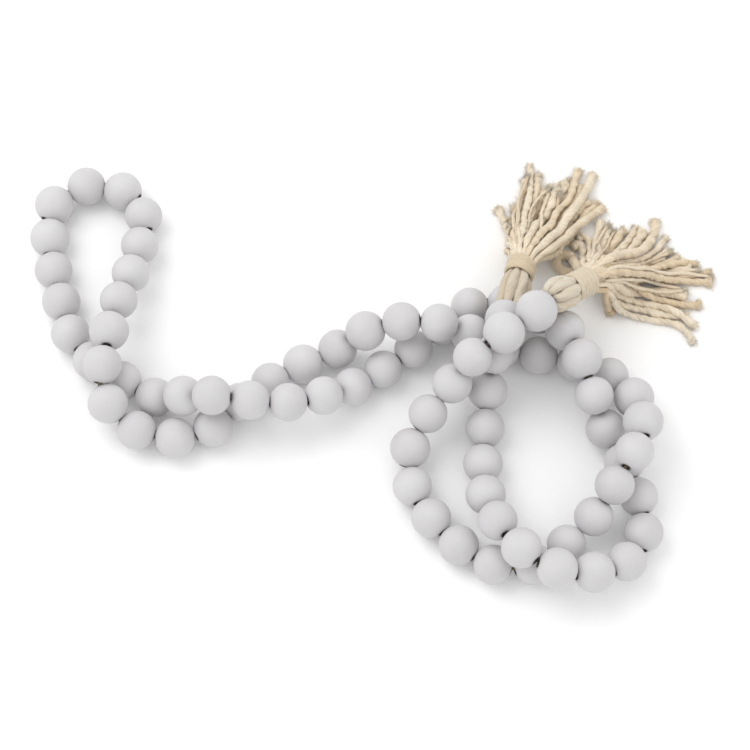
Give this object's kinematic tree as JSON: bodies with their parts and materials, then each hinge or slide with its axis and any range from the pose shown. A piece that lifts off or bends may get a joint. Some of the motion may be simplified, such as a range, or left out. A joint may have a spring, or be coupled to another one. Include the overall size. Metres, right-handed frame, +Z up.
{
  "type": "wood bead garland with two cotton tassels",
  "caption": "Round painted wooden beads strung on a cotton cord, lying in crossing loops, with a bound cotton tassel at each end.",
  "frame": {"origin": "on the surface that the garland lies on, under the middle of its box", "axes": "+X along the garland's longest side as it lies, from its single loop towards its tassels; +Y away from the viewer; +Z up"},
  "size_m": [0.3725, 0.2573, 0.0585],
  "materials": {
    "bead": "matte white-grey paint over turned wood",
    "string": "twisted cotton cord",
    "tassel": "natural unbleached cotton cord, loosely twisted, frayed at its ends",
    "binding": "natural cotton cord wound side by side"
  },
  "bodies": {
    "root": {"bead_pair_01": "bead", "bead_pair_02": "bead", "bead_pair_03": "bead", "bead_pair_04": "bead", "bead_pair_05": "bead", "bead_pair_06": "bead", "bead_pair_07": "bead", "bead_pair_08": "bead", "bead_pair_09": "bead", "bead_pair_10": "bead", "bead_pair_11": "bead", "bead_pair_12": "bead", "bead_pair_13": "bead", "bead_pair_14": "bead", "bead_pair_15": "bead", "bead_pair_16": "bead", "bead_pair_17": "bead", "bead_pair_18": "bead", "bead_pair_19": "bead", "bead_pair_20": "bead", "bead_pair_21": "bead", "bead_pair_22": "bead", "bead_pair_23": "bead", "bead_pair_24": "bead", "bead_pair_25": "bead", "bead_pair_26": "bead", "bead_pair_27": "bead", "bead_pair_28": "bead", "bead_pair_29": "bead", "bead_pair_30": "bead", "bead_pair_31": "bead", "bead_pair_32": "bead", "bead_pair_33": "bead", "bead_pair_34": "bead", "bead_pair_35": "bead", "bead_pair_36": "bead", "bead_pair_37": "bead", "bead_pair_38": "bead", "bead_pair_39": "bead", "bead_last": "bead", "string": "string", "tassel_1": "tassel", "tassel_1_binding": "binding", "tassel_2": "tassel", "tassel_2_binding": "binding"}
  },
  "joints": []
}
